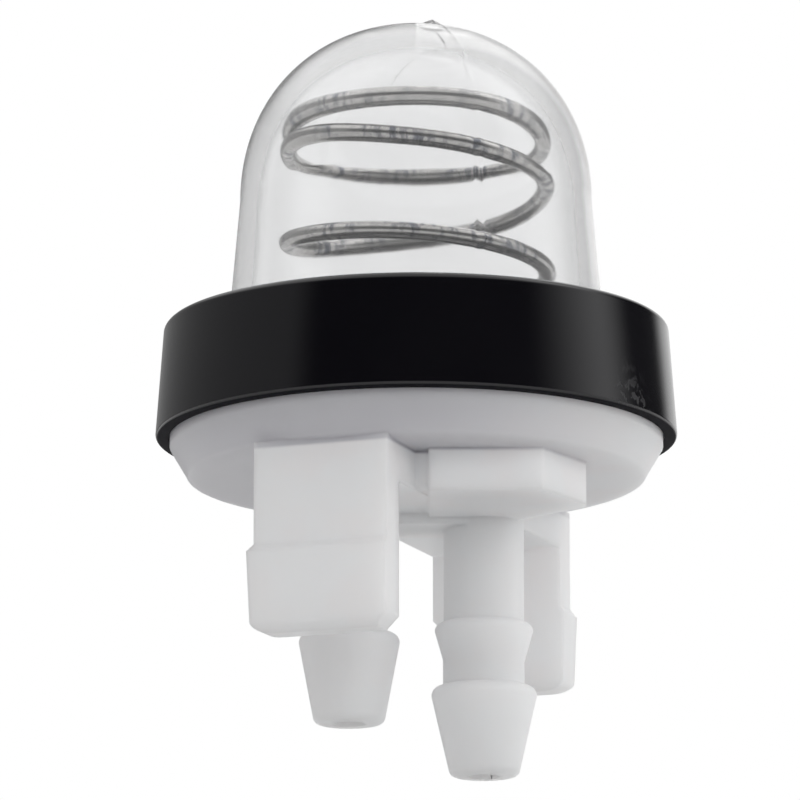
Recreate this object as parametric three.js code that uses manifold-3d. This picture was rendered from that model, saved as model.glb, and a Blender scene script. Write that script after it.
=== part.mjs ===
// Snap-in primer bulb: clear squeeze bulb and return spring, held by a black collar on a white
// base with two snap legs and two hose nipples. Millimetres, +Z along the bulb's axis, and the
// origin on that axis in the plane of the collar's lower face, where the panel meets it.

import * as THREE from 'three';
import { mergeVertices } from 'three/addons/utils/BufferGeometryUtils.js';
import Module from 'manifold-3d';

const wasm = await Module();
wasm.setup();

const roundSegments = 64;
const smallSegments = 28;

// Clearances between pieces
const seatClearance = 0.05;
const bulbMouthClearance = 0.12;
const springClearance = 0.12;
const springFootClearance = 0.96;
const tableClearance = 0.36;
const valveStemClearance = 0.1;
const valveBeadClearance = 0.4;

// How far a block runs up into the disc that carries it, and a cutter past the face it opens
const rootDepth = 0.5;
const cutMargin = 1;

// Collar
const collarHeight = 5.84;
const collarFootRadius = 13.38;
const collarDraft = 0.38;
const collarWall = 0.88;
const collarLipThickness = 1.04;
const collarRecessWall = 0.68;
const collarRecessDepth = 1.2;
const collarEdgeRound = 0.35;
const collarMouthChamfer = 0.17;
const collarFootChamfer = 0.2;

// Bulb
const bulbMouthRadius = 9.68;
const bulbShoulderRadius = 9.1;
const bulbStraightHeight = 6.66;
const bulbCrownHeight = 9.28;
const bulbCrownPower = 2.14;
const bulbWall = 1;
const bulbCrownWall = 1.15;
const bulbFlangeThickness = 1.3;
const gateRadius = 0.45;
const gateHeight = 0.25;
const gateX = 0.85;
const gateY = -2.3;

// Return spring
const wireRadius = 0.43;
const springHeadInset = 1.7;
const springFreeTurns = 2.5;
const springEndTurns = 1;
const springFootPitch = 0.98;
const springHeadPitch = 1.45;

// Base disc
const baseDrop = 2.23;
const rimTaperDrop = 0.42;
const rimTaper = 0.86;
const rimRoundWidth = 1.24;
const rimRoundDepth = 0.37;
const springPocketDepth = 1.25;
const springPocketMargin = 0.6;
const valveTableHeight = 0.6;

// Blocks under the base disc: depths are below the disc's flat underside
const keyDepth = 2.15;
const keyInset = 3.75;
const keyLeftX = 0.6;
const keyRightX = 8.55;
const keyCornerX = 6.3;
const keyCornerDepth = 3.7;
const keySideDepth = 0.7;
const keyBackX = 5.2;
const keyBackY = -1;
const pedestalDepth = 1.95;
const webDepth = 2.5;
const webHalfWidth = 1.9;

// Snap legs, in a frame with X outward and Y across the leg
const legAzimuth = THREE.MathUtils.degToRad(69.3);
const legInset = 1.21;
const legRootDepth = 0.2;
const legThickness = 1.67;
const legWideSide = 4.31;
const legNarrowSide = 2.77;
const legLength = 9.45;
const legFootChamfer = 0.2;
const legHookDrop = 4.96;
const legHookRamp = 0.39;
const legHookDepth = 0.42;
const legHookTaper = 0.27;
const legHookSide = 0.23;
const legHookSideTaper = 0.08;
const legHookFootRise = 0.45;
const legCornerWidth = 1.1;
const legCornerRise = 0.6;
const legNotchWidth = 0.55;
const nearNotchDrop = 8.75;
const farNotchDrop = 5.4;

// Hose nipples
const nippleOffset = 3.43;
const nippleBoreRadius = 0.8;
const inletLength = 12.5;
const inletStemRadius = 1.95;
const inletBarbRadius = 2.57;
const inletBarbLength = 4.65;
const inletTipRadius = 1.85;
const outletLength = 15.2;
const outletStemRadius = 2.05;
const outletBarbRadius = 2.68;
const outletBarbLength = 4.6;
const outletTipRadius = 1.82;
const outletCollarRadius = 2.5;
const outletCollarRound = 0.35;
const outletCollarDrop = 7.35;
const outletCollarLength = 2;
const barbShoulderRound = 0.45;
const nippleTipRound = 0.4;

// Check valve and its passages
const valveStemRadius = 1.2;
const valveBeadRadius = 1.65;
const valveBeadHeight = 0.5;
const valveSkirtThickness = 0.5;
const valveSkirtEdge = 0.25;
const valveSkirtRim = 0.75;
const valveDomeRadius = 2.4;
const valveDomeRise = 0.25;
const valveBoreRadius = 0.6;
const valveBillLength = 2.3;
const valveBillThickness = 0.9;
const valveBillFloor = 0.9;
const valveSlitWidth = 0.14;
const valveSlitLength = 2.3;
const valveSlitHeight = 1.2;
const valveFloorThickness = 1.25;
const wellDepth = 3.2;
const sumpRadius = 0.85;
const sumpFloor = 0.8;
const crossBoreRadius = 0.7;

// Levels and radii that follow from the sizes above
const collarBoreRadius = collarFootRadius - collarWall;
const collarMouthRadius = bulbMouthRadius + bulbMouthClearance;
const plugRadius = collarBoreRadius - seatClearance;
const recessRadius = collarFootRadius - collarRecessWall;
const rimRadius = recessRadius - seatClearance;
const flangeTop = collarHeight - collarLipThickness - seatClearance;
const flangeBottom = flangeTop - bulbFlangeThickness;
const shoulderLevel = collarHeight + bulbStraightHeight;
const innerMouthRadius = bulbMouthRadius - bulbWall;
const innerShoulderRadius = bulbShoulderRadius - bulbWall;
const innerCrownHeight = bulbCrownHeight - bulbCrownWall;
const springFootRadius = innerMouthRadius - springFootClearance - wireRadius;
const springHeadRadius = innerShoulderRadius - springHeadInset;
const seatLevel = flangeBottom - seatClearance;
const pocketFloor = seatLevel - springPocketDepth;
const pocketRadius = springFootRadius + wireRadius + springPocketMargin;
const tableRadius = springFootRadius - wireRadius - tableClearance;
const tableTop = pocketFloor + valveTableHeight;
const rootTop = -baseDrop + rootDepth;
const keyFront = -(rimRadius - keyInset);
const legFaceDistance = rimRadius - legInset;
const legFoot = -baseDrop - legLength;
const legHookTop = -baseDrop - legHookDrop;
const webBottom = -baseDrop - webDepth;
const valveSkirtRadius = nippleOffset + nippleBoreRadius + valveSkirtRim;
const wellTop = tableTop - valveFloorThickness;

// A closed solid turned about the Z axis from a profile of [radius, height] points.
function turned(profile, segments) {
  const points = profile.map(([radius, height]) => new THREE.Vector2(radius, height));
  return toSolid(new THREE.LatheGeometry(points, segments).rotateX(Math.PI / 2));
}

function toSolid(geometry) {
  const bare = geometry.clone();
  bare.deleteAttribute('normal');
  bare.deleteAttribute('uv');
  const merged = mergeVertices(bare, 1e-4);
  const mesh = new wasm.Mesh({
    numProp: 3,
    vertProperties: new Float32Array(merged.attributes.position.array),
    triVerts: new Uint32Array(merged.index.array),
  });
  return new wasm.Manifold(mesh);
}

function toGeometry(solid) {
  const mesh = solid.getMesh();
  const geometry = new THREE.BufferGeometry();
  geometry.setAttribute('position', new THREE.BufferAttribute(mesh.vertProperties, 3));
  geometry.setIndex(new THREE.BufferAttribute(mesh.triVerts, 1));
  geometry.computeVertexNormals();
  return geometry;
}

function box(low, high) {
  const size = new THREE.Vector3().subVectors(high, low);
  const centre = new THREE.Vector3().addVectors(low, high).multiplyScalar(0.5);
  const geometry = new THREE.BoxGeometry(size.x, size.y, size.z);
  return toSolid(geometry.translate(centre.x, centre.y, centre.z));
}

// An upright cylinder on the line through x and y.
function rod(radius, bottom, top, x = 0, y = 0, segments = smallSegments) {
  const geometry = new THREE.CylinderGeometry(radius, radius, top - bottom, segments);
  geometry.rotateX(Math.PI / 2);
  return toSolid(geometry.translate(x, y, (top + bottom) / 2));
}

// An outline in X and Z, given its depth along Y from yLow to yHigh.
function slab(outline, yLow, yHigh) {
  const shape = new THREE.Shape(outline.map(([x, z]) => new THREE.Vector2(x, z)));
  const options = { depth: yHigh - yLow, bevelEnabled: false };
  const geometry = new THREE.ExtrudeGeometry(shape, options);
  geometry.rotateX(Math.PI / 2);
  return toSolid(geometry.translate(0, yHigh, 0));
}

function arcPoints(centreR, centreZ, radiusR, radiusZ, fromDegrees, toDegrees, steps) {
  const points = [];
  for (let i = 0; i <= steps; i += 1) {
    const degrees = THREE.MathUtils.lerp(fromDegrees, toDegrees, i / steps);
    const angle = THREE.MathUtils.degToRad(degrees);
    points.push([centreR + radiusR * Math.cos(angle), centreZ + radiusZ * Math.sin(angle)]);
  }
  return points;
}

// Collar: a turned ring with a slight draft outside, a lip that holds the bulb's flange down, and
// a recess in its foot for the base's rim.
function makeCollar() {
  const round = collarEdgeRound;
  const topRadius = collarFootRadius - collarDraft;
  const lipBottom = collarHeight - collarLipThickness;
  const profile = [
    [recessRadius, 0],
    [collarFootRadius - collarFootChamfer, 0],
    [collarFootRadius, collarFootChamfer],
    ...arcPoints(topRadius - round, collarHeight - round, round, round, 0, 90, 4),
    [collarMouthRadius + collarMouthChamfer, collarHeight],
    [collarMouthRadius, collarHeight - collarMouthChamfer],
    [collarMouthRadius, lipBottom],
    [collarBoreRadius, lipBottom],
    [collarBoreRadius, collarRecessDepth],
    [recessRadius, collarRecessDepth],
    [recessRadius, 0],
  ];
  return turned(profile, roundSegments);
}

// The crown is a superellipse, fuller at its shoulder than a sphere.
function crownLevel(radius, fullRadius, height) {
  const drop = (radius / fullRadius) ** bulbCrownPower;
  return shoulderLevel + height * (1 - drop) ** (1 / bulbCrownPower);
}

// Points up a crown from the shoulder to the last one before the axis.
function crownPoints(fullRadius, height, steps) {
  const points = [];
  for (let i = 0; i < steps; i += 1) {
    const angle = (Math.PI / 2) * (i / steps);
    const radius = fullRadius * Math.cos(angle) ** (2 / bulbCrownPower);
    points.push([radius, crownLevel(radius, fullRadius, height)]);
  }
  return points;
}

// Bulb: one moulded shell, open below, with a flat flange round its mouth and a gate nub on top.
function makeBulb() {
  const profile = [
    [0, shoulderLevel + innerCrownHeight],
    ...crownPoints(innerShoulderRadius, innerCrownHeight, 10).reverse(),
    [innerMouthRadius, flangeBottom],
    [plugRadius, flangeBottom],
    [plugRadius, flangeTop],
    [bulbMouthRadius, flangeTop],
    [bulbMouthRadius, collarHeight],
    ...crownPoints(bulbShoulderRadius, bulbCrownHeight, 14),
    [0, shoulderLevel + bulbCrownHeight],
  ];
  const gateLevel = crownLevel(Math.hypot(gateX, gateY), bulbShoulderRadius, bulbCrownHeight);
  const gateBottom = gateLevel - bulbCrownWall / 2;
  const gate = rod(gateRadius, gateBottom, gateLevel + gateHeight, gateX, gateY, 16);
  return turned(profile, roundSegments).add(gate);
}

// Level at which the wire's centre touches the crown from inside, at the head's radius.
function springHeadLevel() {
  const share = springHeadRadius / innerShoulderRadius;
  const rest = 1 - share ** bulbCrownPower;
  const steepness = share ** (bulbCrownPower - 1) * rest ** (1 / bulbCrownPower - 1);
  const slope = (innerCrownHeight / innerShoulderRadius) * steepness;
  const level = crownLevel(springHeadRadius, innerShoulderRadius, innerCrownHeight);
  return level - (wireRadius + springClearance) * Math.hypot(1, slope);
}

// Return spring: left-hand coil with closed ends, wider at the foot than at the head.
class CoilPath extends THREE.Curve {
  constructor(bottom, top) {
    super();
    this.bottom = bottom;
    this.turns = springFreeTurns + 2 * springEndTurns;
    const endRise = springEndTurns * (springFootPitch + springHeadPitch);
    this.freePitch = (top - bottom - endRise) / springFreeTurns;
  }

  getPoint(t, target = new THREE.Vector3()) {
    const turn = t * this.turns;
    const foot = Math.min(turn, springEndTurns);
    const free = THREE.MathUtils.clamp(turn - springEndTurns, 0, springFreeTurns);
    const head = Math.max(turn - springEndTurns - springFreeTurns, 0);
    const rise = foot * springFootPitch + free * this.freePitch + head * springHeadPitch;
    const radius = THREE.MathUtils.lerp(springFootRadius, springHeadRadius, t);
    const angle = -2 * Math.PI * turn;
    return target.set(radius * Math.cos(angle), radius * Math.sin(angle), this.bottom + rise);
  }
}

function makeSpring() {
  const path = new CoilPath(pocketFloor + wireRadius + springClearance, springHeadLevel());
  const section = new THREE.Shape();
  section.absarc(0, 0, wireRadius, 0, 2 * Math.PI, false);
  const options = {
    steps: Math.round(path.turns * 24),
    curveSegments: 4,
    extrudePath: path,
    bevelEnabled: false,
  };
  return toSolid(new THREE.ExtrudeGeometry(section, options));
}

// Base disc: the tapered rim in the collar's recess, the plug inside the collar, the flange seat,
// the spring's pocket and the valve table.
function makeDisc() {
  const flatRadius = rimRadius - rimTaper - rimRoundWidth;
  const roundTop = -baseDrop + rimRoundDepth;
  const rimTop = collarRecessDepth - seatClearance;
  const profile = [
    [0, -baseDrop],
    ...arcPoints(flatRadius, roundTop, rimRoundWidth, rimRoundDepth, -90, 0, 5),
    [rimRadius, -rimTaperDrop],
    [rimRadius, rimTop],
    [plugRadius, rimTop],
    [plugRadius, seatLevel],
    [pocketRadius, seatLevel],
    [pocketRadius, pocketFloor],
    [tableRadius, pocketFloor],
    [tableRadius, tableTop],
    [0, tableTop],
  ];
  return turned(profile, roundSegments);
}

// Locating key: a block under the disc with one corner cut off, which only fits the panel one way.
function makeKey() {
  const cornerY = keyFront + keyCornerDepth;
  const outline = [
    [keyLeftX, 0],
    [keyLeftX, keyFront],
    [keyCornerX, keyFront],
    [keyRightX, cornerY],
    [keyRightX, cornerY + keySideDepth],
    [keyBackX, keyBackY],
    [keyBackX, 0],
  ];
  const shape = new THREE.Shape(outline.map(([x, y]) => new THREE.Vector2(x, y)));
  const height = rootTop + baseDrop + keyDepth;
  const geometry = new THREE.ExtrudeGeometry(shape, { depth: height, bevelEnabled: false });
  return toSolid(geometry.translate(0, 0, rootTop - height));
}

// Side view of a leg in its own frame: X outward, hook on the outer face.
function legSideOutline(top) {
  const inner = legFaceDistance - legThickness;
  const hook = legFaceDistance + legHookDepth;
  return [
    [inner, top],
    [inner, legFoot + legFootChamfer],
    [inner + legFootChamfer, legFoot],
    [legFaceDistance - legFootChamfer, legFoot],
    [hook - legHookTaper, legFoot + legHookFootRise],
    [hook, legHookTop - legHookRamp],
    [legFaceDistance, legHookTop],
    [legFaceDistance, top],
  ];
}

// Front view of a leg: Y across it, hook past its wide side, notch in its narrow side.
function legFrontOutline(top, notchDrop) {
  const notch = -baseDrop - notchDrop;
  const notchSide = -legNarrowSide + legNotchWidth;
  const hook = legWideSide + legHookSide;
  const cornerX = hook - legHookSideTaper - legCornerWidth;
  const cornerZ = legFoot + legCornerRise;
  return [
    [-legNarrowSide, top],
    [-legNarrowSide, notch],
    [notchSide, notch - legNotchWidth],
    [notchSide, legFoot],
    ...arcPoints(cornerX, cornerZ, legCornerWidth, legCornerRise, -90, 0, 4),
    [hook, legHookTop - legHookRamp],
    [legWideSide, legHookTop],
    [legWideSide, top],
  ];
}

function makeLeg(azimuth, notchDrop) {
  const top = -baseDrop + legRootDepth;
  const reach = legFaceDistance + legHookDepth + cutMargin;
  const side = slab(legSideOutline(top), -reach, reach);
  const front = slab(legFrontOutline(top, notchDrop), 0, reach).rotate([0, 0, -90]);
  return side.intersect(front).rotate([0, 0, THREE.MathUtils.radToDeg(azimuth)]);
}

// Pedestal: the thick block that carries a leg in from the rim.
function makePedestal(azimuth) {
  const low = new THREE.Vector3(0, -legWideSide, -baseDrop - pedestalDepth);
  const high = new THREE.Vector3(legFaceDistance - legThickness / 2, legNarrowSide, rootTop);
  return box(low, high).rotate([0, 0, THREE.MathUtils.radToDeg(azimuth)]);
}

// Web: the bar with round ends that joins the nipples' roots and holds the passage between them.
function makeWeb() {
  const low = new THREE.Vector3(-nippleOffset, -webHalfWidth, webBottom);
  const high = new THREE.Vector3(nippleOffset, webHalfWidth, rootTop);
  const left = rod(webHalfWidth, webBottom, rootTop, -nippleOffset);
  const right = rod(webHalfWidth, webBottom, rootTop, nippleOffset);
  return box(low, high).add(left).add(right);
}

// Hose nipple turned about its own axis: stem, barb with a rounded shoulder, tapered tip.
function makeNipple(x, length, stemRadius, barbRadius, barbLength, tipRadius, stemCollar) {
  const tip = -baseDrop - length;
  const barbTop = tip + barbLength;
  const tipRound = nippleTipRound;
  const round = barbShoulderRound;
  const profile = [
    [0, tip],
    ...arcPoints(tipRadius - tipRound, tip + tipRound, tipRound, tipRound, -90, 0, 3),
    ...arcPoints(barbRadius - round, barbTop - round, round, round, -10, 90, 4),
    [stemRadius, barbTop],
    ...stemCollar,
    [stemRadius, rootTop],
    [0, rootTop],
  ];
  return turned(profile, smallSegments).translate([x, 0, 0]);
}

function makeInlet() {
  return makeNipple(
    -nippleOffset,
    inletLength,
    inletStemRadius,
    inletBarbRadius,
    inletBarbLength,
    inletTipRadius,
    [],
  );
}

// The outlet is longer, and its stem has a second, smaller shoulder above the barb.
function makeOutlet() {
  const top = -baseDrop - outletCollarDrop;
  const round = outletCollarRound;
  const stemCollar = [
    [outletStemRadius, top - outletCollarLength],
    ...arcPoints(outletCollarRadius - round, top - round, round, round, -10, 90, 3),
    [outletStemRadius, top],
  ];
  return makeNipple(
    nippleOffset,
    outletLength,
    outletStemRadius,
    outletBarbRadius,
    outletBarbLength,
    outletTipRadius,
    stemCollar,
  );
}

// Passages: the inlet bore ends under the valve's skirt, the well and sump lead to the outlet.
function makePassages() {
  const wellRadius = valveBeadRadius + valveBeadClearance;
  const wellFloor = wellTop - wellDepth;
  const sumpBottom = webBottom + sumpFloor;
  const crossLevel = sumpBottom + crossBoreRadius;
  const inletTip = -baseDrop - inletLength;
  const outletTip = -baseDrop - outletLength;
  const cross = new THREE.CylinderGeometry(
    crossBoreRadius,
    crossBoreRadius,
    nippleOffset,
    smallSegments,
  );
  cross.rotateZ(Math.PI / 2);
  cross.translate(nippleOffset / 2, 0, crossLevel);
  return [
    rod(nippleBoreRadius, inletTip - cutMargin, tableTop + cutMargin, -nippleOffset),
    rod(nippleBoreRadius, outletTip - cutMargin, crossLevel, nippleOffset),
    rod(valveStemRadius + valveStemClearance, wellTop - cutMargin, tableTop + cutMargin),
    rod(wellRadius, wellFloor, wellTop),
    rod(sumpRadius, sumpBottom, wellFloor + cutMargin),
    toSolid(cross),
  ];
}

function makeBase() {
  const near = legAzimuth + Math.PI;
  const joined = [
    makeKey(),
    makePedestal(legAzimuth),
    makePedestal(near),
    makeLeg(legAzimuth, farNotchDrop),
    makeLeg(near, nearNotchDrop),
    makeWeb(),
    makeInlet(),
    makeOutlet(),
  ].reduce((body, block) => body.add(block), makeDisc());
  return makePassages().reduce((body, passage) => body.subtract(passage), joined);
}

// Check valve: one rubber moulding, an umbrella skirt over the inlet and a duckbill in the well.
function makeCheckValve() {
  const skirtBottom = tableTop + seatClearance;
  const skirtTop = skirtBottom + valveSkirtThickness;
  const beadTop = wellTop - seatClearance;
  const beadBottom = beadTop - valveBeadHeight;
  const billBottom = beadTop - valveBillLength;
  const profile = [
    [0, billBottom],
    [valveBeadRadius, billBottom],
    [valveBeadRadius, beadTop],
    [valveStemRadius, beadTop],
    [valveStemRadius, skirtBottom],
    [valveSkirtRadius, skirtBottom],
    [valveSkirtRadius, skirtBottom + valveSkirtEdge],
    [valveDomeRadius, skirtTop],
    [valveStemRadius, skirtTop + valveDomeRise],
    [0, skirtTop + valveDomeRise],
  ];
  const reach = valveSkirtRadius + cutMargin;
  const wedge = [
    [-valveBillThickness / 2, billBottom],
    [valveBillThickness / 2, billBottom],
    [valveBeadRadius, beadBottom],
    [reach, beadBottom],
    [reach, skirtTop + reach],
    [-reach, skirtTop + reach],
    [-reach, beadBottom],
    [-valveBeadRadius, beadBottom],
  ];
  const bore = rod(valveBoreRadius, billBottom + valveBillFloor, skirtTop + reach);
  const slitX = valveSlitWidth / 2;
  const slitY = valveSlitLength / 2;
  const slit = box(
    new THREE.Vector3(-slitX, -slitY, billBottom - cutMargin),
    new THREE.Vector3(slitX, slitY, billBottom + valveSlitHeight),
  );
  const moulding = turned(profile, smallSegments).intersect(slab(wedge, -reach, reach));
  return moulding.subtract(bore).subtract(slit);
}

const finishes = {
  clearPlastic: {
    color: 0xe9ebec,
    roughness: 0.15,
    metalness: 0,
    transparent: true,
    opacity: 0.35,
  },
  springSteel: { color: 0x8d9094, roughness: 0.35, metalness: 1 },
  blackPlastic: { color: 0x0d0e10, roughness: 0.2, metalness: 0 },
  whitePlastic: { color: 0xe6e5e6, roughness: 0.5, metalness: 0 },
  valveRubber: { color: 0x2b2b2d, roughness: 0.75, metalness: 0 },
};

function named(name, solid, finish) {
  const mesh = new THREE.Mesh(toGeometry(solid), new THREE.MeshStandardMaterial(finish));
  mesh.name = name;
  return mesh;
}

const primerBulb = new THREE.Group();
primerBulb.name = 'primer_bulb';
primerBulb.add(named('bulb', makeBulb(), finishes.clearPlastic));
primerBulb.add(named('return_spring', makeSpring(), finishes.springSteel));
primerBulb.add(named('collar', makeCollar(), finishes.blackPlastic));
primerBulb.add(named('base', makeBase(), finishes.whitePlastic));
primerBulb.add(named('check_valve', makeCheckValve(), finishes.valveRubber));

export default primerBulb;
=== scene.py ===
import math

import bmesh
import bpy
from mathutils import Matrix, Vector


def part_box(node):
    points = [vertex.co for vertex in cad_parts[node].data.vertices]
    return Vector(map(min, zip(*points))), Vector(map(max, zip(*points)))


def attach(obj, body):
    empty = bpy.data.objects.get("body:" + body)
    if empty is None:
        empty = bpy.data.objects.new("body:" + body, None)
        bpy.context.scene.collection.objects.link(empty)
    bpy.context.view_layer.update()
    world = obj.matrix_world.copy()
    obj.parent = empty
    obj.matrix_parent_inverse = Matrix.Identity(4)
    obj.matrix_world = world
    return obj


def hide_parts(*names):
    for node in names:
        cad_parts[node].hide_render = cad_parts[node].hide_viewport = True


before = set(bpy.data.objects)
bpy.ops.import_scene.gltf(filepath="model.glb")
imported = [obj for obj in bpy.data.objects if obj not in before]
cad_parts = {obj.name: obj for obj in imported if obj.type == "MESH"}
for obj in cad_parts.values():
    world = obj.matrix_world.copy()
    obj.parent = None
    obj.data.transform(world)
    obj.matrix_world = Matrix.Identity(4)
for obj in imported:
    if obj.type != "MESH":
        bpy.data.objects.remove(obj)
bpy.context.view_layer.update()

MM = 0.001

# Camera: a long lens a little below the part, looking up at it, so that the underside of the
# base shows. Its place is in the part's own frame.
camera_place = Vector((0, -300, -62.8)) * MM
camera_pitch = math.radians(12.21)
camera_yaw = math.radians(-0.16)
camera_roll = math.radians(-0.04)
camera_lens = 268.8

lens = bpy.data.cameras.new("camera")
lens.sensor_width = 36
lens.lens = camera_lens
lens.clip_start = 0.01
camera = bpy.data.objects.new("camera", lens)
bpy.context.scene.collection.objects.link(camera)
facing = Matrix.Rotation(-camera_yaw, 4, "Z") @ Matrix.Rotation(math.pi / 2 + camera_pitch, 4, "X")
camera.matrix_world = (
    Matrix.Translation(camera_place) @ facing @ Matrix.Rotation(camera_roll, 4, "Z")
)
bpy.context.scene.camera = camera
bpy.context.scene.view_settings.view_transform = "Standard"


class Field:
    """A node's output in one node tree, so that shading reads as sums and products."""

    def __init__(self, tree, output=None):
        self.tree = tree
        self.output = output

    def node(self, kind, settings=(), inputs=(), output=0):
        """Any node: its settings first, then the values or links of its sockets."""
        made = self.tree.nodes.new(kind)
        for name, value in dict(settings).items():
            setattr(made, name, value)
        for name, value in dict(inputs).items():
            if isinstance(value, Field):
                self.tree.links.new(value.output, made.inputs[name])
            else:
                made.inputs[name].default_value = value
        return Field(self.tree, made.outputs[output] if made.outputs else None)

    def math(self, operation, *values):
        return self.node("ShaderNodeMath", {"operation": operation}, dict(enumerate(values)))

    def __add__(self, other):
        return self.math("ADD", self, other)

    def __sub__(self, other):
        return self.math("SUBTRACT", self, other)

    def __rsub__(self, other):
        return self.math("SUBTRACT", other, self)

    def __mul__(self, other):
        return self.math("MULTIPLY", self, other)

    __radd__ = __add__
    __rmul__ = __mul__

    def step(self, start, end):
        """A soft step from 0 at start to 1 at end."""
        return self.node(
            "ShaderNodeMapRange",
            {"interpolation_type": "SMOOTHSTEP"},
            {"Value": self, "From Min": start, "From Max": end},
        )

    def blend(self, first, second):
        """The first colour where this is 0, the second where it is 1."""
        return self.node(
            "ShaderNodeMix",
            {"data_type": "RGBA"},
            {"Factor": self, "A": first, "B": second},
            output=2,
        )


# Studio: a white surround behind the part, a dark camera side, a broad panel on the left and a
# softbox on the right that gloss reflects, and a pale floor below the camera's height. Matt
# surfaces are lit by walls that are brightest at the horizon.
surround_white = 1.0
wall_light = 1.55
right_light = 0.58
camera_side = 0.03
left_panel = 0.31
right_softbox = 1.15
ceiling_light = 1.1
haze_light = 0.74

# Where each light starts and where it is full: degrees to the right of the camera's side, and
# for the ceiling the upward part of the direction.
left_panel_rise = (-44, -60)
softbox_rise = (50, 92)
softbox_fall = (114, 90)
surround_rise = (136, 152)
ceiling_rise = (0.45, 0.75)
floor_level = -75
floor_half_width = 3000
floor_colour = (0.86, 0.86, 0.86, 1)

world = bpy.data.worlds.new("studio")
bpy.context.scene.world = world
world.use_nodes = True
world.node_tree.nodes.clear()
studio = Field(world.node_tree)
direction = studio.node("ShaderNodeTexCoord", output="Generated")
east = studio.node("ShaderNodeSeparateXYZ", inputs={"Vector": direction}, output="X")
north = studio.node("ShaderNodeSeparateXYZ", inputs={"Vector": direction}, output="Y")
upward = studio.node("ShaderNodeSeparateXYZ", inputs={"Vector": direction}, output="Z")
bearing = studio.math("DEGREES", studio.math("ARCTAN2", east, 0 - north))
left = bearing.step(*left_panel_rise) * left_panel
right = bearing.step(*softbox_rise) * bearing.step(*softbox_fall) * right_softbox
backdrop = bearing.step(*surround_rise) * surround_white
ceiling = upward.step(*ceiling_rise) * ceiling_light
mirrored = left + right + backdrop + ceiling + camera_side
scattered = (1 - studio.math("MAXIMUM", upward, 0)) * (east * right_light + wall_light)
seen = studio.node("ShaderNodeLightPath", output="Is Camera Ray")
through = studio.node("ShaderNodeLightPath", output="Is Transmission Ray")
bounces = studio.node("ShaderNodeLightPath", output="Glossy Depth")
skins = studio.node("ShaderNodeLightPath", output="Transmission Depth")
reflected = studio.math("MINIMUM", bounces, 1)
direct = studio.math("MAXIMUM", seen, through * (1 - reflected))

# A ray that is reflected inside the bulb, past one or two of its skins, meets an even haze.
in_bulb = studio.math("MINIMUM", skins, 1) * studio.math("LESS_THAN", skins, 3)
hazed = mirrored * (1 - in_bulb) + in_bulb * haze_light
lit = reflected * hazed + (1 - reflected) * scattered
strength = direct * surround_white + (1 - direct) * lit
white = {"Color": (1, 1, 1, 1), "Strength": strength}
background = studio.node("ShaderNodeBackground", inputs=white)
studio.node("ShaderNodeOutputWorld", inputs={"Surface": background})


def new_material(name):
    """An empty material, and the field that its nodes start from."""
    material = bpy.data.materials.new(name)
    material.use_nodes = True
    material.node_tree.nodes.clear()
    return material, Field(material.node_tree)


def add_object(name, shape, material):
    """The bmesh as an object of one material, with its faces pointing out."""
    bmesh.ops.remove_doubles(shape, verts=shape.verts, dist=1e-7)
    bmesh.ops.recalc_face_normals(shape, faces=shape.faces)
    mesh = bpy.data.meshes.new(name)
    shape.to_mesh(mesh)
    shape.free()
    mesh.materials.append(material)
    made = bpy.data.objects.new(name, mesh)
    bpy.context.scene.collection.objects.link(made)
    return made


floor_paint, paint = new_material("floor_paint")
floor_surface = paint.node(
    "ShaderNodeBsdfPrincipled", inputs={"Base Color": floor_colour, "Roughness": 0.9}
)
paint.node("ShaderNodeOutputMaterial", inputs={"Surface": floor_surface})
floor_shape = bmesh.new()
floor_corners = [
    floor_shape.verts.new((x * floor_half_width * MM, y * floor_half_width * MM, floor_level * MM))
    for x, y in ((-1, -1), (1, -1), (1, 1), (-1, 1))
]
floor_shape.faces.new(floor_corners)
floor = add_object("floor", floor_shape, floor_paint)


# Base: one white polymer moulding, slightly see-through. A round-rimmed disc plugs the collar,
# and carries a locating key, two snap legs on pedestals, and two nipples joined by a web.
base_low, base_high = (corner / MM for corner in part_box("base"))
rim_radius = base_high.x
seat_level = base_high.z
plug_radius = rim_radius - 0.2
rim_top = 1.15
disc_bottom = -2.23
rim_taper_top = -0.42
rim_taper = 0.86
rim_round_width = 1.24
rim_round_depth = 0.37
pocket_floor = seat_level - 1.25
pocket_radius = 8.32
table_radius = 6.52
table_top = pocket_floor + 0.6
root_top = disc_bottom + 0.5
cut_margin = 1
key_bottom = disc_bottom - 2.15
key_left = 0.6
key_right = 8.55
key_front = 3.75 - rim_radius
key_corner_x = 6.3
key_corner_y = key_front + 3.7
key_side = 0.7
key_back_x = 5.2
key_back_y = -1
fill_right = key_left + 0.1
fill_left_front = -1
fill_left_back = -2
fill_front = key_front + 0.9
fill_lift = 0.05
pedestal_bottom = disc_bottom - 1.95
web_bottom = disc_bottom - 2.5
web_half_width = 1.9
leg_azimuth = math.radians(69.3)
leg_outer = rim_radius - 1.21
leg_top = disc_bottom + 0.2
leg_inner = leg_outer - 1.67
leg_wide = 4.31
leg_narrow = 2.77
leg_foot = disc_bottom - 9.45
leg_foot_chamfer = 0.2
hook_top = disc_bottom - 4.96
hook_ramp = 0.39
hook_depth = 0.42
hook_taper = 0.27
hook_side = 0.23
hook_side_taper = 0.08
hook_foot_rise = 0.45
corner_width = 1.1
corner_rise = 0.6
notch_width = 0.55
near_notch = disc_bottom - 8.75
far_notch = disc_bottom - 5.4
nipple_x = 3.43
nipple_bore = 0.8
nipple_tip_round = 0.4
barb_round = 0.45
inlet = {
    "x": -nipple_x,
    "tip": disc_bottom - 12.5,
    "stem": 1.95,
    "barb": 2.57,
    "barb_length": 4.65,
    "tip_radius": 1.85,
}
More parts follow.
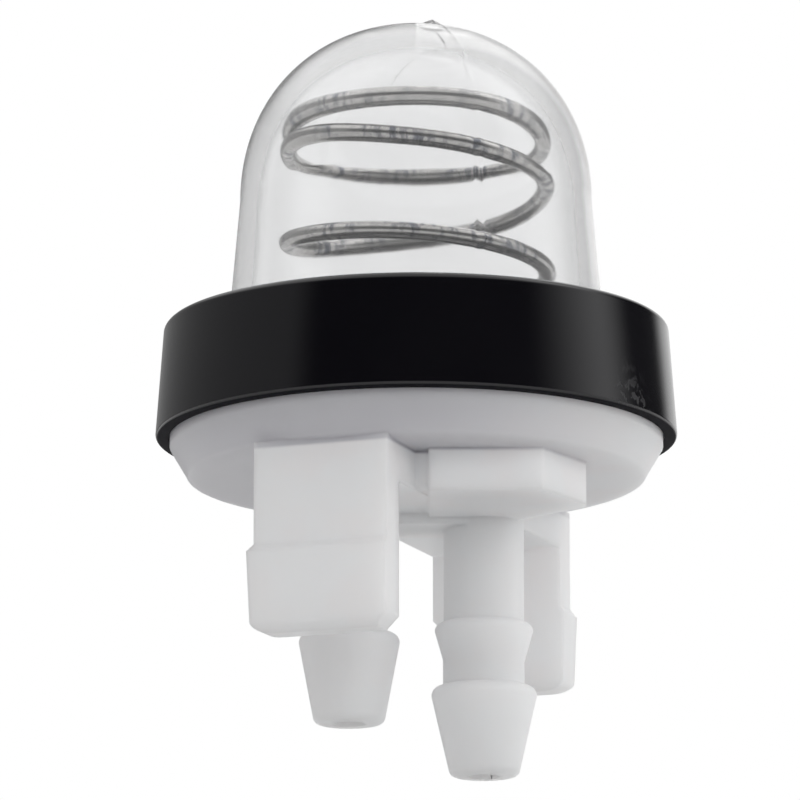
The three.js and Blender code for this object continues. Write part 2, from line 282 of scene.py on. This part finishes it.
outlet = {
    "x": nipple_x,
    "tip": base_low.z,
    "stem": 2.05,
    "barb": 2.68,
    "barb_length": 4.6,
    "tip_radius": 1.82,
}
stem_collar_top = disc_bottom - 7.35
stem_collar_length = 2
stem_collar_radius = 2.5
stem_collar_round = 0.35
well_top = table_top - 1.25
well_floor = well_top - 3.2
well_radius = 2.05
valve_hole = 1.3
sump_radius = 0.85
sump_bottom = web_bottom + 0.8
cross_radius = 0.7
pedestal_overlap = 0.8
round_sides = 96
bore_sides = 48
bevel_angle = 32
sharp_angle = 30
base_edge_round = 0.26
base_soft_edge = 0.3
base_white = (0.88, 0.885, 0.895, 1)
base_warm = (0.885, 0.87, 0.875, 1)
# The colour of the disc's painted shade.
disc_painted_shade = (0.6, 0.595, 0.625, 1)
base_grain = 9000
base_cloud = 260


def arc(centre, radii, start, end, steps):
    """Points of an elliptical arc in a profile, from one angle in degrees to another."""
    points = []
    for i in range(steps + 1):
        angle = math.radians(start + (end - start) * i / steps)
        points.append((centre[0] + radii[0] * math.cos(angle), centre[1] + radii[1] * math.sin(angle)))
    return points


def turned(profile, segments, x=0.0, closed=False):
    """A shape turned about an upright axis at x from (radius, height) points."""
    shape = bmesh.new()
    rings = []
    for radius, height in profile:
        if radius < 1e-6:
            rings.append([shape.verts.new((x * MM, 0, height * MM))] * segments)
            continue
        ring = []
        for i in range(segments):
            angle = math.tau * i / segments
            place = (x + radius * math.cos(angle), radius * math.sin(angle), height)
            ring.append(shape.verts.new(Vector(place) * MM))
        rings.append(ring)
    for lower, upper in zip(rings, rings[1:] + rings[:1] if closed else rings[1:]):
        for i in range(segments):
            j = (i + 1) % segments
            corners = dict.fromkeys((lower[i], lower[j], upper[j], upper[i]))
            if len(corners) > 2:
                shape.faces.new(list(corners))
    return shape


def upright(outline, bottom, top):
    """An upright block with an outline in X and Y."""
    shape = bmesh.new()
    lower = [shape.verts.new(Vector((x, y, bottom)) * MM) for x, y in outline]
    upper = [shape.verts.new(Vector((x, y, top)) * MM) for x, y in outline]
    shape.faces.new(lower)
    shape.faces.new(upper)
    for i in range(len(outline)):
        j = (i + 1) % len(outline)
        shape.faces.new((lower[i], lower[j], upper[j], upper[i]))
    return shape


def rod(radius, bottom, top, x=0.0):
    """An upright round rod, used to cut a bore."""
    return turned([(0, bottom), (radius, bottom), (radius, top), (0, top)], bore_sides, x)


def along(edge, level):
    """The value at a level on an edge given as (level, value) points, highest first."""
    if level >= edge[0][0]:
        return edge[0][1]
    for (high, first), (low, second) in zip(edge, edge[1:]):
        if level >= low:
            return first + (second - first) * (high - level) / (high - low)
    return edge[-1][1]


def leg_shape(azimuth, notch):
    """A leg as a stack of rectangles, each set by its four edges' places at one level."""
    ramp = hook_top - hook_ramp
    outside = [
        (hook_top, leg_outer),
        (ramp, leg_outer + hook_depth),
        (leg_foot + hook_foot_rise, leg_outer + hook_depth - hook_taper),
        (leg_foot, leg_outer - leg_foot_chamfer),
    ]
    inside = [(leg_foot + leg_foot_chamfer, leg_inner), (leg_foot, leg_inner + leg_foot_chamfer)]
    hook = leg_wide + hook_side
    corner = (hook - hook_side_taper - corner_width, leg_foot + corner_rise)
    rounding = [(z, y) for y, z in arc(corner, (corner_width, corner_rise), 0, -90, 8)]
    wide = [(hook_top, leg_wide), (ramp, hook)] + rounding
    narrow = [(notch, -leg_narrow), (notch - notch_width, notch_width - leg_narrow)]
    levels = {leg_top} | {level for edge in (outside, inside, wide, narrow) for level, _ in edge}
    shape = bmesh.new()
    rings = []
    for level in sorted(levels, reverse=True):
        ring = []
        for face, side in ((inside, narrow), (outside, narrow), (outside, wide), (inside, wide)):
            place = (along(face, level), -along(side, level), level)
            ring.append(shape.verts.new(Vector(place) * MM))
        rings.append(ring)
    shape.faces.new(rings[0])
    shape.faces.new(rings[-1])
    for upper, lower in zip(rings, rings[1:]):
        for i in range(4):
            j = (i + 1) % 4
            shape.faces.new((upper[i], upper[j], lower[j], lower[i]))
    bmesh.ops.rotate(shape, verts=shape.verts, matrix=Matrix.Rotation(azimuth, 3, "Z"))
    return shape


def nipple_shape(x, tip, stem, barb, barb_length, tip_radius, stem_collar=()):
    """A hose nipple: stem, barb with a rounded shoulder, and tapered tip."""
    barb_top = tip + barb_length
    tip_centre = (tip_radius - nipple_tip_round, tip + nipple_tip_round)
    barb_centre = (barb - barb_round, barb_top - barb_round)
    profile = [
        (0, tip),
        *arc(tip_centre, (nipple_tip_round, nipple_tip_round), -90, -8, 6),
        *arc(barb_centre, (barb_round, barb_round), -8, 90, 8),
        (stem, barb_top),
        *stem_collar,
        (stem, root_top),
        (0, root_top),
    ]
    return turned(profile, round_sides, x)


def fix_modifiers(piece):
    """Makes the piece's modifiers part of its mesh."""
    graph = bpy.context.evaluated_depsgraph_get()
    mesh = bpy.data.meshes.new_from_object(piece.evaluated_get(graph))
    piece.modifiers.clear()
    piece.data = mesh


def combine(piece, shapes, operation):
    """The piece joined with, or cut by, each shape in turn."""
    for number, shape in enumerate(shapes):
        tool = add_object(f"{piece.name}_tool_{number}", shape, piece.data.materials[0])
        modifier = piece.modifiers.new("combine", "BOOLEAN")
        modifier.operation = operation
        modifier.solver = "EXACT"
        modifier.object = tool
        fix_modifiers(piece)
        bpy.data.objects.remove(tool)


def shade_smooth(piece, sharp_from):
    """Shades the piece smooth, but for edges that are sharper than an angle in degrees."""
    piece.data.polygons.foreach_set("use_smooth", [True] * len(piece.data.polygons))
    piece.data.set_sharp_from_angle(angle=math.radians(sharp_from))


def soften(piece, width, segments):
    """Rounds the piece's sharp edges and shades the rest smooth."""
    bevel = piece.modifiers.new("edges", "BEVEL")
    bevel.width = width * MM
    bevel.segments = segments
    bevel.limit_method = "ANGLE"
    bevel.angle_limit = math.radians(bevel_angle)
    bevel.use_clamp_overlap = True
    fix_modifiers(piece)
    shade_smooth(piece, sharp_angle)
    piece.modifiers.new("even_shading", "WEIGHTED_NORMAL").keep_sharp = True
    fix_modifiers(piece)


def white_polymer():
    """Milky moulded polymer: faint warm clouds, fine matt grain and a soft inner glow. The disc
    is greyed by painted shade, full on its left half and fading to a little at its right rim."""
    material, paint = new_material("white_polymer")
    place = paint.node("ShaderNodeTexCoord", output="Object")
    cloud = paint.node("ShaderNodeTexNoise", inputs={"Vector": place, "Scale": base_cloud})
    grain = paint.node("ShaderNodeTexNoise", inputs={"Vector": place, "Scale": base_grain})
    milky = cloud.step(0.4, 0.65).blend(base_white, base_warm)
    x = paint.node("ShaderNodeSeparateXYZ", inputs={"Vector": place}, output="X")
    z = paint.node("ShaderNodeSeparateXYZ", inputs={"Vector": place}, output="Z")
    # Painted shade: the disc, from its lower face up, is greyed fully on its left half and less toward
    # its right rim.
    disc_shade = z.step((disc_bottom - 0.2) * MM, disc_bottom * MM)
    disc_shade = disc_shade * (1 - x.step(0, rim_radius * MM) * 0.85)
    colour = disc_shade.blend(milky, disc_painted_shade)
    rounded = paint.node("ShaderNodeBevel", {"samples": 6}, {"Radius": base_soft_edge * MM})
    skin = {"Height": grain, "Strength": 0.08, "Distance": 0.00002, "Normal": rounded}
    bump = paint.node("ShaderNodeBump", inputs=skin)
    surface = paint.node(
        "ShaderNodeBsdfPrincipled",
        {"subsurface_method": "RANDOM_WALK"},
        {
            "Base Color": colour,
            "Roughness": cloud * 0.12 + 0.34,
            "Normal": bump,
            "IOR": 1.5,
            "Subsurface Weight": 1.0,
            "Subsurface Radius": (1.0, 0.97, 0.95),
            "Subsurface Scale": 0.0035,
        },
    )
    paint.node("ShaderNodeOutputMaterial", inputs={"Surface": surface})
    return material


rim_centre = (rim_radius - rim_taper - rim_round_width, disc_bottom + rim_round_depth)
disc_profile = [
    (0, disc_bottom),
    *arc(rim_centre, (rim_round_width, rim_round_depth), -90, 0, 14),
    (rim_radius, rim_taper_top),
    (rim_radius, rim_top),
    (plug_radius, rim_top),
    (plug_radius, seat_level),
    (pocket_radius, seat_level),
    (pocket_radius, pocket_floor),
    (table_radius, pocket_floor),
    (table_radius, table_top),
    (0, table_top),
]
key_outline = [
    (key_left, 0),
    (key_left, key_front),
    (key_corner_x, key_front),
    (key_right, key_corner_y),
    (key_right, key_corner_y + key_side),
    (key_back_x, key_back_y),
    (key_back_x, 0),
]
web_ends = (web_half_width, web_half_width)
web_outline = arc((nipple_x, 0), web_ends, -90, 90, 24) + arc((-nipple_x, 0), web_ends, 90, 270, 24)
pedestal_reach = leg_inner + pedestal_overlap
pedestal_outline = [
    (0, -leg_wide),
    (pedestal_reach, -leg_wide),
    (pedestal_reach, leg_narrow),
    (0, leg_narrow),
]
collar_centre = (stem_collar_radius - stem_collar_round, stem_collar_top - stem_collar_round)
outlet_collar = [
    (outlet["stem"], stem_collar_top - stem_collar_length),
    *arc(collar_centre, (stem_collar_round, stem_collar_round), -10, 90, 6),
    (outlet["stem"], stem_collar_top),
]
corner_fill = [
    (fill_right, fill_front),
    (fill_right, 0),
    (fill_left_back, 0),
    (fill_left_front, fill_front),
]
blocks = [
    upright(key_outline, key_bottom, root_top),
    upright(corner_fill, pedestal_bottom + fill_lift, root_top),
    upright(web_outline, web_bottom, root_top),
]
for azimuth, notch in ((leg_azimuth, far_notch), (leg_azimuth + math.pi, near_notch)):
    pedestal = upright(pedestal_outline, pedestal_bottom, root_top)
    turn = Matrix.Rotation(azimuth, 3, "Z")
    bmesh.ops.rotate(pedestal, verts=pedestal.verts, matrix=turn)
    blocks += [pedestal, leg_shape(azimuth, notch)]
blocks += [nipple_shape(**inlet), nipple_shape(**outlet, stem_collar=outlet_collar)]

cross_level = sump_bottom + cross_radius
cross_bore = rod(cross_radius, 0, nipple_x)
bmesh.ops.rotate(cross_bore, verts=cross_bore.verts, matrix=Matrix.Rotation(math.pi / 2, 3, "Y"))
bmesh.ops.translate(cross_bore, verts=cross_bore.verts, vec=(0, 0, cross_level * MM))
passages = [
    rod(nipple_bore, inlet["tip"] - cut_margin, table_top + cut_margin, -nipple_x),
    rod(nipple_bore, outlet["tip"] - cut_margin, cross_level, nipple_x),
    rod(valve_hole, well_top - cut_margin, table_top + cut_margin),
    rod(well_radius, well_floor, well_top),
    rod(sump_radius, sump_bottom, well_floor + cut_margin),
    cross_bore,
]
base = add_object("base_moulding", turned(disc_profile, 2 * round_sides), white_polymer())
combine(base, blocks, "UNION")
combine(base, passages, "DIFFERENCE")
soften(base, base_edge_round, 3)
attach(base, "root")
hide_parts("base")


# Check valve: one soft rubber moulding on the base's table. Its thin skirt covers the inlet,
# and its stem goes down through a hole and ends in a slit bill in the well.
valve_low, valve_high = (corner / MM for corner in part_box("check_valve"))
skirt_bottom = table_top + 0.05
skirt_top = skirt_bottom + 0.5
skirt_edge = 0.25
dome_radius = 2.4
stem_radius = 1.2
bead_radius = 1.65
bead_top = well_top - 0.05
bead_bottom = bead_top - 0.5
bill_half_width = 0.45
valve_bore = 0.6
bore_floor = valve_low.z + 0.9
slit_half_width = 0.07
slit_half_length = 1.15
slit_height = 1.2
valve_edge_round = 0.06
rubber_colour = (0.022, 0.022, 0.024, 1)
rubber_dust = (0.05, 0.05, 0.052, 1)


def valve_rubber():
    """Dark moulded rubber with a faint bloom and a fine matt skin."""
    material, paint = new_material("valve_rubber")
    place = paint.node("ShaderNodeTexCoord", output="Object")
    bloom = paint.node("ShaderNodeTexNoise", inputs={"Vector": place, "Scale": 700})
    grain = paint.node("ShaderNodeTexNoise", inputs={"Vector": place, "Scale": 12000})
    bump = paint.node(
        "ShaderNodeBump", inputs={"Height": grain, "Strength": 0.15, "Distance": 0.00002}
    )
    surface = paint.node(
        "ShaderNodeBsdfPrincipled",
        inputs={
            "Base Color": bloom.step(0.45, 0.7).blend(rubber_colour, rubber_dust),
            "Roughness": bloom * 0.2 + 0.55,
            "Normal": bump,
        },
    )
    paint.node("ShaderNodeOutputMaterial", inputs={"Surface": surface})
    return material


valve_profile = [
    (0, valve_low.z),
    (bead_radius, valve_low.z),
    (bead_radius, bead_top),
    (stem_radius, bead_top),
    (stem_radius, skirt_bottom),
    (valve_high.x, skirt_bottom),
    (valve_high.x, skirt_bottom + skirt_edge),
    (dome_radius, skirt_top),
    (stem_radius, valve_high.z),
    (0, valve_high.z),
]
reach = valve_high.x + cut_margin
bill_outline = [
    (-bill_half_width, valve_low.z - cut_margin),
    (bill_half_width, valve_low.z - cut_margin),
    (bill_half_width, valve_low.z),
    (bead_radius, bead_bottom),
    (reach, bead_bottom),
    (reach, skirt_top + reach),
    (-reach, skirt_top + reach),
    (-reach, bead_bottom),
    (-bead_radius, bead_bottom),
    (-bill_half_width, valve_low.z),
]
bill = upright([(x, -z) for x, z in bill_outline], -reach, reach)
bmesh.ops.rotate(bill, verts=bill.verts, matrix=Matrix.Rotation(-math.pi / 2, 3, "X"))
slit_outline = [
    (x * slit_half_width, y * slit_half_length) for x, y in ((-1, -1), (1, -1), (1, 1), (-1, 1))
]
slit = upright(slit_outline, valve_low.z - cut_margin, valve_low.z + slit_height)
valve = add_object("valve_moulding", turned(valve_profile, round_sides), valve_rubber())
combine(valve, [bill], "INTERSECT")
combine(valve, [rod(valve_bore, bore_floor, skirt_top + reach), slit], "DIFFERENCE")
soften(valve, valve_edge_round, 2)
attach(valve, "root")
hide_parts("check_valve")


# Return spring: drawn steel wire, wound left-hand with its end turns closed, wider at its foot
# than at its head. It stands in the base's pocket and pushes up against the bulb's crown.
spring_low, spring_high = (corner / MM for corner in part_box("return_spring"))
wire_radius = 0.45
foot_radius = 7.3
spring_turns = 4.5
foot_level = spring_low.z + wire_radius
head_level = spring_high.z - wire_radius

# Turns up from the coil's foot, each with the coil's radius or the wire's level there
taper = ((0, foot_radius), (1, 7.1), (2, 6.75), (2.5, 6.6), (3, 6.69), (4.5, 6.66))
rise = (
    (0, foot_level), (1, 3.75), (2, 8.3), (2.25, 9.25), (2.5, 10.1), (2.75, 11.75), (2.875, 12.25),
    (3, 12.95), (3.25, 14.25), (3.5, 15.15), (3.75, 15.15), (4, 15.55), (4.25, 16.3), (4.5, 16.15),
)
coil_steps = 220
wire_sides = 20
steel_light = (0.5, 0.49, 0.475, 1)
# Dark streak colour: the wire's own mottle mixed with painted dark reflection.
steel_mottle_and_reflection = (0.11, 0.12, 0.15, 1)


def spring_steel():
    """Drawn wire: bright steel with dark streaks across the coil's height, partly its own mottle and
    partly painted dark reflection.
    """
    material, paint = new_material("spring_steel")
    place = paint.node("ShaderNodeTexCoord", output="Object")
    streaks = paint.node("ShaderNodeMapping", inputs={"Vector": place, "Scale": (1, 1, 0.25)})
    mottle = paint.node(
        "ShaderNodeTexNoise", inputs={"Vector": streaks, "Scale": 2600, "Detail": 4}
    )
    patches = paint.node("ShaderNodeTexNoise", inputs={"Vector": place, "Scale": 320})
    # Dark streaks in patches: partly the wire's own mottle, partly painted dark reflection.
    dark = mottle.step(0.44, 0.68) * patches.step(0.34, 0.56)
    bump = paint.node(
        "ShaderNodeBump", inputs={"Height": mottle, "Strength": 0.25, "Distance": 0.00003}
    )
    surface = paint.node(
        "ShaderNodeBsdfPrincipled",
        inputs={
            "Base Color": dark.blend(steel_light, steel_mottle_and_reflection),
            "Metallic": 1.0,
            "Roughness": mottle * 0.2 + 0.12,
            "Normal": bump,
        },
    )
    paint.node("ShaderNodeOutputMaterial", inputs={"Surface": surface})
    return material


def profile_along(share, points):
    """A smooth curve over the wire's length through (turn, value) points, with values from 0 to 1."""
    curve = share.tree.nodes.new("ShaderNodeFloatCurve")
    line = curve.mapping.curves[0]
    line.points[0].location = (0, points[0][1])
    line.points[1].location = (1, points[-1][1])
    for turn, value in points[1:-1]:
        line.points.new(turn / spring_turns, value)
    for point in line.points:
        point.handle_type = "AUTO_CLAMPED"
    curve.mapping.update()
    share.tree.links.new(share.output, curve.inputs["Value"])
    return Field(share.tree, curve.outputs[0])


def coil_tree(material):
    """Nodes that wind a wire: a spiral lifted by a rise curve, then given its round section."""
    tree = bpy.data.node_groups.new("wound_wire", "GeometryNodeTree")
    sizes = ("Turns", "Foot Radius", "Height", "Foot Level", "Wire Radius")
    for name in sizes:
        tree.interface.new_socket(name, in_out="INPUT", socket_type="NodeSocketFloat")
    tree.interface.new_socket("Geometry", in_out="OUTPUT", socket_type="NodeSocketGeometry")
    wind = Field(tree)
    given = tree.nodes.new("NodeGroupInput")
    size = {name: Field(tree, given.outputs[name]) for name in sizes}
    spiral = wind.node(
        "GeometryNodeCurveSpiral",
        inputs={
            "Resolution": coil_steps,
            "Rotations": size["Turns"],
            "Start Radius": size["Foot Radius"],
            "End Radius": size["Foot Radius"],
            "Height": 0.0,
            "Reverse": False,
        },
    )
    index = wind.node("GeometryNodeInputIndex")
    share = wind.math("DIVIDE", index, size["Turns"] * coil_steps)
    drawn_in = profile_along(share, [(turn, radius / foot_radius) for turn, radius in taper])
    height = head_level - foot_level
    raised = profile_along(share, [(turn, (level - foot_level) / height) for turn, level in rise])
    level = raised * size["Height"] + size["Foot Level"]
    lift = wind.node("ShaderNodeCombineXYZ", inputs={"Z": level})
    flat = wind.node("GeometryNodeInputPosition")
    narrowed = wind.node(
        "ShaderNodeVectorMath", {"operation": "SCALE"}, {"Vector": flat, "Scale": drawn_in}
    )
    lifted = wind.node(
        "GeometryNodeSetPosition",
        inputs={"Geometry": spiral, "Position": narrowed, "Offset": lift},
    )
    section = wind.node(
        "GeometryNodeCurvePrimitiveCircle",
        inputs={"Resolution": wire_sides, "Radius": size["Wire Radius"]},
    )
    wire = wind.node(
        "GeometryNodeCurveToMesh",
        inputs={"Curve": lifted, "Profile Curve": section, "Fill Caps": True},
    )
    smooth = wind.node("GeometryNodeSetShadeSmooth", inputs={"Geometry": wire})
    real = wind.node("GeometryNodeRealizeInstances", inputs={"Geometry": smooth})
    painted = wind.node("GeometryNodeSetMaterial", inputs={"Geometry": real, "Material": material})
    wind.node("NodeGroupOutput", inputs={"Geometry": painted})
    return tree


spring = bpy.data.objects.new("wound_spring", bpy.data.meshes.new("wound_spring"))
bpy.context.scene.collection.objects.link(spring)
steel = spring_steel()
winding = spring.modifiers.new("winding", "NODES")
winding.node_group = coil_tree(steel)
spring_sizes = {
    "Turns": spring_turns,
    "Foot Radius": foot_radius * MM,
    "Height": (head_level - foot_level) * MM,
    "Foot Level": foot_level * MM,
    "Wire Radius": wire_radius * MM,
}
for item in winding.node_group.interface.items_tree:
    if item.name in spring_sizes:
        winding[item.identifier] = spring_sizes[item.name]
fix_modifiers(spring)
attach(spring, "root")
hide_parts("return_spring")


# Bulb: one clear, slightly milky moulding that is squeezed by hand. Its flange is clamped under
# the collar's lip, and a parting line and a gate nub are left from its mould.
bulb_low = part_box("bulb")[0] / MM
collar_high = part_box("collar")[1] / MM
mouth_radius = 9.68
shoulder_radius = 9.1
shoulder_level = collar_high.z + 6.66
crown_height = 9.28
crown_power = 2.14
bulb_wall = 1.0
crown_wall = 1.15
flange_top = bulb_low.z + 1.3
flange_radius = plug_radius
core_ring_radius = 2.4
core_ring_depth = 0.05
parting_azimuth = math.radians(-70)
parting_height = 0.03
gate_place = Vector((0.85, -2.3))
gate_radius = 0.63
gate_height = 0.2
bulb_columns = 360
bulb_colour = (0.975, 0.977, 0.98, 1)
bulb_haze = (0.955, 0.957, 0.96, 1)
bulb_edge = (0.9, 0.905, 0.91, 1)


def clear_polymer():
    """Clear soft polymer with a slight milkiness and a faint handled haze on its skin."""
    material, paint = new_material("clear_polymer")
    place = paint.node("ShaderNodeTexCoord", output="Object")
    haze = paint.node("ShaderNodeTexNoise", inputs={"Vector": place, "Scale": 180, "Detail": 3})
    waves = paint.node("ShaderNodeTexNoise", inputs={"Vector": place, "Scale": 260})
    bump = paint.node(
        "ShaderNodeBump", inputs={"Height": waves, "Strength": 0.05, "Distance": 0.0002}
    )
    edge = paint.node("ShaderNodeLayerWeight", inputs={"Blend": 0.5}, output="Facing")
    colour = haze.step(0.4, 0.75).blend(bulb_colour, bulb_haze)
    surface = paint.node(
        "ShaderNodeBsdfPrincipled",
        inputs={
            "Base Color": edge.step(0.55, 1.0).blend(colour, bulb_edge),
            "Roughness": haze * 0.08 + 0.02,
            "Normal": bump,
            "IOR": 1.46,
            "Transmission Weight": 0.95,
        },
    )
    paint.node("ShaderNodeOutputMaterial", inputs={"Surface": surface})
    return material


def crown_level(radius, full_radius, height):
    """The crown is a superellipse, fuller at its shoulder than a sphere."""
    drop = min(radius / full_radius, 1) ** crown_power
    return shoulder_level + height * (1 - drop) ** (1 / crown_power)


def crown_points(full_radius, height, steps):
    """Points up a crown from its shoulder to the axis."""
    points = []
    for i in range(steps):
        radius = full_radius * math.cos(math.pi / 2 * i / steps) ** (2 / crown_power)
        points.append((radius, crown_level(radius, full_radius, height)))
    return points + [(0, shoulder_level + height)]


def wall_points(bottom, top, steps):
    """Points up a slightly tapered wall, without its last."""
    return [
        (bottom[0] + (top[0] - bottom[0]) * i / steps, bottom[1] + (top[1] - bottom[1]) * i / steps)
        for i in range(steps)
    ]


inner_shoulder = shoulder_radius - bulb_wall
inner_height = crown_height - crown_wall
inner_crown = []
for radius, level in crown_points(inner_shoulder, inner_height, 70):
    inner_crown.append((radius, level + core_ring_depth * (radius < core_ring_radius)))
bulb_profile = inner_crown[::-1] + [
    (mouth_radius - bulb_wall, bulb_low.z),
    (flange_radius, bulb_low.z),
    (flange_radius, flange_top),
    (mouth_radius, flange_top),
    *wall_points((mouth_radius, collar_high.z), (shoulder_radius, shoulder_level), 12),
    *crown_points(shoulder_radius, crown_height, 110),
]


def on_outer_skin(place):
    """Whether a point of the bulb's wall or crown is on its outer skin."""
    radius = place.xy.length
    if place.z > shoulder_level:
        return place.z > crown_level(radius, shoulder_radius, crown_height) - crown_wall / 2
    return radius > (inner_shoulder + shoulder_radius) / 2


bulb_shape = turned(bulb_profile, bulb_columns)
for vertex in bulb_shape.verts:
    place = vertex.co / MM
    if place.z < collar_high.z or not on_outer_skin(place):
        continue
    if place.z > shoulder_level:
        off_gate = min((place.xy - gate_place).length / gate_radius, 1)
        vertex.co.z += gate_height * MM * (1 + math.cos(math.pi * off_gate)) / 2
    turn = math.atan2(place.y, place.x) - parting_azimuth
    if abs(math.sin(turn)) < math.sin(math.pi / bulb_columns):
        outward = Vector((place.x, place.y, max(place.z - shoulder_level, 0)))
        vertex.co += outward.normalized() * parting_height * MM
bulb = add_object("clear_bulb", bulb_shape, clear_polymer())
shade_smooth(bulb, 40)
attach(bulb, "root")
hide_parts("bulb")


# Collar: a glossy black moulded ring. Its lip holds the bulb's flange down on the base, and its
# flat lower face rests on the panel.
collar_foot = collar_high.x
collar_draft = 0.38
collar_bore = collar_foot - 0.88
lip_bottom = collar_high.z - 1.04
lip_radius = mouth_radius + 0.12
collar_round = 0.35
mouth_round = 0.17
foot_round = 0.2
recess_radius = rim_radius + 0.05
recess_depth = 1.2
collar_black = (0.0026, 0.0023, 0.0042, 1)
collar_scuff = (0.05, 0.05, 0.055, 1)
scuff_azimuth = math.radians(-36)
matt_level = 0.02
gloss_level = 0.1
collar_sides = 256


def black_polymer():
    """Glossy black polymer, scuffed in one place on its side and matt on its lower face."""
    material, paint = new_material("black_polymer")
    place = paint.node("ShaderNodeTexCoord", output="Object")
    fine = paint.node("ShaderNodeTexNoise", inputs={"Vector": place, "Scale": 2600, "Detail": 5})
    broad = paint.node("ShaderNodeTexNoise", inputs={"Vector": place, "Scale": 240})
    x = paint.node("ShaderNodeSeparateXYZ", inputs={"Vector": place}, output="X")
    y = paint.node("ShaderNodeSeparateXYZ", inputs={"Vector": place}, output="Y")
    toward = x * math.cos(scuff_azimuth) + y * math.sin(scuff_azimuth)
    toward = toward * (1 / (collar_foot * MM))
    scuffed = toward.step(0.985, 1.0) * fine.step(0.52, 0.6)
    bump = paint.node(
        "ShaderNodeBump", inputs={"Height": scuffed, "Strength": 0.3, "Distance": 0.00003}
    )
    gloss = paint.node(
        "ShaderNodeBsdfPrincipled",
        inputs={
            "Base Color": (scuffed * 0.5).blend(collar_black, collar_scuff),
            "Roughness": broad * 0.1 + scuffed * 0.25 + 0.1,
            "Normal": bump,
            "IOR": 1.5,
        },
    )
    matt = paint.node(
        "ShaderNodeBsdfPrincipled",
        inputs={"Base Color": collar_black, "Roughness": 0.8, "Specular IOR Level": 0.1},
    )
    z = paint.node("ShaderNodeSeparateXYZ", inputs={"Vector": place}, output="Z")
    above_foot = z.step(matt_level * MM, gloss_level * MM)
    surface = paint.node("ShaderNodeMixShader", inputs={0: above_foot, 1: matt, 2: gloss})
    paint.node("ShaderNodeOutputMaterial", inputs={"Surface": surface})
    return material


collar_top = collar_foot - collar_draft
foot_centre = (collar_foot - foot_round, foot_round)
edge_centre = (collar_top - collar_round, collar_high.z - collar_round)
mouth_centre = (lip_radius + mouth_round, collar_high.z - mouth_round)
collar_profile = [
    (recess_radius, 0),
    (collar_foot - foot_round, 0),
    *arc(foot_centre, (foot_round, foot_round), -60, 0, 4),
    *arc(edge_centre, (collar_round, collar_round), 0, 90, 8),
    *arc(mouth_centre, (mouth_round, mouth_round), 90, 180, 4),
    (lip_radius, lip_bottom),
    (collar_bore, lip_bottom),
    (collar_bore, recess_depth),
    (recess_radius, recess_depth),
]
collar = add_object("black_collar", turned(collar_profile, collar_sides, closed=True), black_polymer())
shade_smooth(collar, 35)
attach(collar, "root")
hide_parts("collar")
